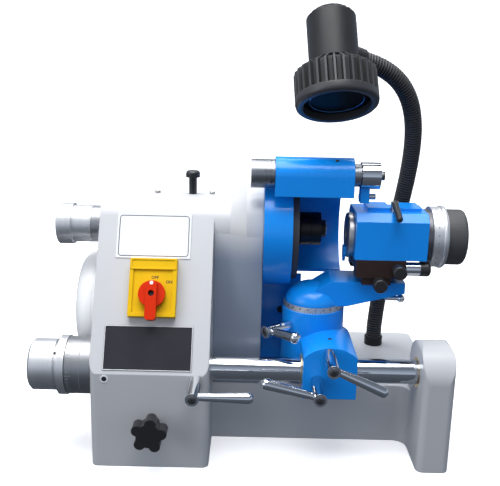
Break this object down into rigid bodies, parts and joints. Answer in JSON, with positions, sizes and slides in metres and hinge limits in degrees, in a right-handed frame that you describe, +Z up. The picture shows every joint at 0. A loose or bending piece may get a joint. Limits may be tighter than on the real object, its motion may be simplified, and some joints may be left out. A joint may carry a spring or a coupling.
{
  "type": "tool and cutter grinder",
  "caption": "Bench tool and cutter grinder: cast base, guarded wheel spindle, swivelling work head on a round bar, dresser and gooseneck lamp.",
  "frame": {"origin": "middle of the bench bolt pattern, on the underside of the base", "axes": "+Z up, +X along the wheel spindle to the right as the operator sees it, +Y to the rear"},
  "size_m": [0.4469, 0.2864, 0.4636],
  "materials": {
    "casting_paint": "satin",
    "blue_paint": "gloss",
    "dial_metal": "satin",
    "steel": "turned",
    "bright_chrome": "polished",
    "black_plastic": "matt",
    "black_metal": "matt",
    "dark_slide": "blackened",
    "bronze": "turned",
    "yellow_plastic": "gloss",
    "red_plastic": "gloss",
    "plates": "satin",
    "abrasive": "coarse",
    "belt_rubber": "matt",
    "lens": "frosted"
  },
  "bodies": {
    "machine": {"base_casting": "casting_paint", "rear_cover": "casting_paint", "screws": "black_metal", "label_plates": "plates", "switch_body": "yellow_plastic", "switch_plate": "yellow_plastic", "bar_bushes": "bronze", "end_cap": "black_plastic", "oil_cups": "steel", "cable_gland": "black_plastic", "wheel_guard": "blue_paint", "feed_bush": "dial_metal", "motor_shell": "casting_paint", "motor_bell": "casting_paint", "stator": "steel", "drive_belt": "belt_rubber", "bar_collar": "dial_metal", "neck_foot": "black_metal", "gooseneck": "black_plastic"},
    "quill_unit": {"quill": "steel", "spindle_bearings": "steel"},
    "wheel_unit": {"spindle": "steel", "spindle_pulley": "steel", "inner_flange": "steel", "grinding_wheel": "abrasive", "outer_flange": "black_metal", "wheel_nut": "black_metal"},
    "feed_knob": {"feed_dial": "dial_metal"},
    "motor_unit": {"rotor": "steel", "motor_pulley": "steel"},
    "plunger": {"lock_plunger": "black_plastic"},
    "switch": {"switch_knob": "red_plastic"},
    "dresser_slide": {"dresser_shaft": "steel"},
    "dresser_swing": {"dresser_arm": "blue_paint"},
    "bar": {"guide_bar": "bright_chrome"},
    "bar_knob": {"bar_dial": "dial_metal"},
    "sleeve": {"carriage_bush": "bronze"},
    "carriage_unit": {"carriage": "blue_paint", "angle_ring": "dial_metal"},
    "arm": {"swivel_arm": "blue_paint", "slide_base": "dark_slide"},
    "head": {"cross_slide": "dark_slide", "work_head": "blue_paint"},
    "slide_feed": {"slide_screw": "bright_chrome"},
    "work": {"work_spindle": "steel", "index_drum": "dial_metal", "work_knob": "black_plastic", "stop_finger": "blue_paint"},
    "index": {"index_pin": "black_plastic"},
    "lever_box": {"box_lever": "bright_chrome"},
    "lever_swing": {"swing_lever": "bright_chrome"},
    "lever_slide": {"slide_lever": "bright_chrome"},
    "lever_lock": {"swivel_lock": "bright_chrome"},
    "lever_arm": {"arm_lever": "bright_chrome"},
    "knob_star": {"star_knob": "black_plastic"},
    "knob_slide": {"slide_lock_knob": "black_plastic"},
    "knob_base": {"base_lock_knob": "black_plastic"},
    "lamp": {"lamp_body": "black_plastic", "lamp_head": "black_plastic", "lamp_lens": "lens"}
  },
  "joints": [
    {"name": "quill_feed", "type": "slide", "parent": "machine", "child": "quill_unit", "axis": [1, 0, 0], "range_m": [-0.002, 0.002]},
    {"name": "wheel_spin", "type": "hinge", "parent": "quill_unit", "child": "wheel_unit", "pos_m": [0, 0, 0.23], "axis": [1, 0, 0], "continuous": true},
    {"name": "feed_turn", "type": "hinge", "parent": "machine", "child": "feed_knob", "pos_m": [0, 0, 0.23], "axis": [1, 0, 0], "range_deg": [-720, 720]},
    {"name": "motor_spin", "type": "hinge", "parent": "machine", "child": "motor_unit", "pos_m": [0, 0.028, 0.128], "axis": [1, 0, 0], "continuous": true},
    {"name": "plunger_press", "type": "slide", "parent": "machine", "child": "plunger", "axis": [0, 0, -1], "range_m": [0, 0.005], "stiffness_N_per_m": 300},
    {"name": "switch_turn", "type": "hinge", "parent": "machine", "child": "switch", "pos_m": [-0.1215, -0.07224, 0.17196], "axis": [0, 0.88, -0.475], "range_deg": [0, 45]},
    {"name": "dresser_feed", "type": "slide", "parent": "machine", "child": "dresser_slide", "axis": [-1, 0, 0], "range_m": [0, 0.006]},
    {"name": "dresser_turn", "type": "hinge", "parent": "dresser_slide", "child": "dresser_swing", "pos_m": [0.09, -0.045, 0.2965], "axis": [1, 0, 0], "range_deg": [-110, 40]},
    {"name": "bar_feed", "type": "slide", "parent": "machine", "child": "bar", "axis": [1, 0, 0], "range_m": [0, 0.005]},
    {"name": "bar_turn", "type": "hinge", "parent": "machine", "child": "bar_knob", "pos_m": [0, -0.0765, 0.097], "axis": [1, 0, 0], "range_deg": [0, 900]},
    {"name": "carriage_slide", "type": "slide", "parent": "bar", "child": "sleeve", "axis": [1, 0, 0], "range_m": [0, 0.055]},
    {"name": "carriage_tilt", "type": "hinge", "parent": "sleeve", "child": "carriage_unit", "pos_m": [0, -0.0765, 0.097], "axis": [1, 0, 0], "range_deg": [-4, 5]},
    {"name": "arm_swivel", "type": "hinge", "parent": "carriage_unit", "child": "arm", "pos_m": [0.046, -0.026, 0.157], "axis": [0, 0, 1], "range_deg": [-45, 10]},
    {"name": "head_feed", "type": "slide", "parent": "arm", "child": "head", "axis": [1, 0, 0], "range_m": [-0.008, 0.008]},
    {"name": "slide_turn", "type": "hinge", "parent": "head", "child": "slide_feed", "pos_m": [0.15, -0.052, 0.201], "axis": [1, 0, 0], "range_deg": [-2880, 2880]},
    {"name": "work_turn", "type": "hinge", "parent": "head", "child": "work", "pos_m": [0.1, -0.026, 0.23], "axis": [1, 0, 0], "continuous": true},
    {"name": "index_lift", "type": "slide", "parent": "head", "child": "index", "axis": [0, 0, 1], "range_m": [0, 0.004], "stiffness_N_per_m": 300},
    {"name": "box_lever_turn", "type": "hinge", "parent": "machine", "child": "lever_box", "pos_m": [-0.0755, -0.13, 0.097], "axis": [0, 1, 0], "range_deg": [0, 70]},
    {"name": "swing_lever_turn", "type": "hinge", "parent": "carriage_unit", "child": "lever_swing", "pos_m": [0.0575, -0.12, 0.126], "axis": [0, 1, 0], "range_deg": [-20, 55]},
    {"name": "slide_lever_turn", "type": "hinge", "parent": "carriage_unit", "child": "lever_slide", "pos_m": [0.046, -0.12, 0.097], "axis": [0, 1, 0], "range_deg": [0, 40]},
    {"name": "swivel_lock_turn", "type": "hinge", "parent": "carriage_unit", "child": "lever_lock", "pos_m": [0.046, -0.026, 0.133], "axis": [-0.7986, -0.6018, 0], "range_deg": [-15, 40]},
    {"name": "arm_lever_turn", "type": "hinge", "parent": "arm", "child": "lever_arm", "pos_m": [0.123, -0.039, 0.165], "axis": [0, 0, 1], "range_deg": [-50, 50]},
    {"name": "star_turn", "type": "hinge", "parent": "machine", "child": "knob_star", "pos_m": [-0.119, -0.12, 0.05], "axis": [0, 1, 0], "range_deg": [-180, 180]},
    {"name": "slide_lock_turn", "type": "hinge", "parent": "head", "child": "knob_slide", "pos_m": [0.129, -0.06, 0.201], "axis": [0, 1, 0], "range_deg": [-180, 180]},
    {"name": "base_lock_turn", "type": "hinge", "parent": "arm", "child": "knob_base", "pos_m": [0.11, -0.06, 0.1869], "axis": [0, 1, 0], "range_deg": [-180, 180]},
    {"name": "lamp_turn", "type": "hinge", "parent": "machine", "child": "lamp", "pos_m": [0.05418, -0.03089, 0.41961], "axis": [0.9295, 0.2259, -0.2915], "range_deg": [-30, 30]}
  ],
  "couplings": [
    {"joint": "wheel_spin", "follows": "motor_spin", "ratio": 1.5},
    {"joint": "feed_turn", "follows": "quill_feed", "rad_per_m": 6283.2},
    {"joint": "bar_turn", "follows": "bar_feed", "rad_per_m": 3141.6},
    {"joint": "slide_turn", "follows": "head_feed", "rad_per_m": 6283.2}
  ]
}
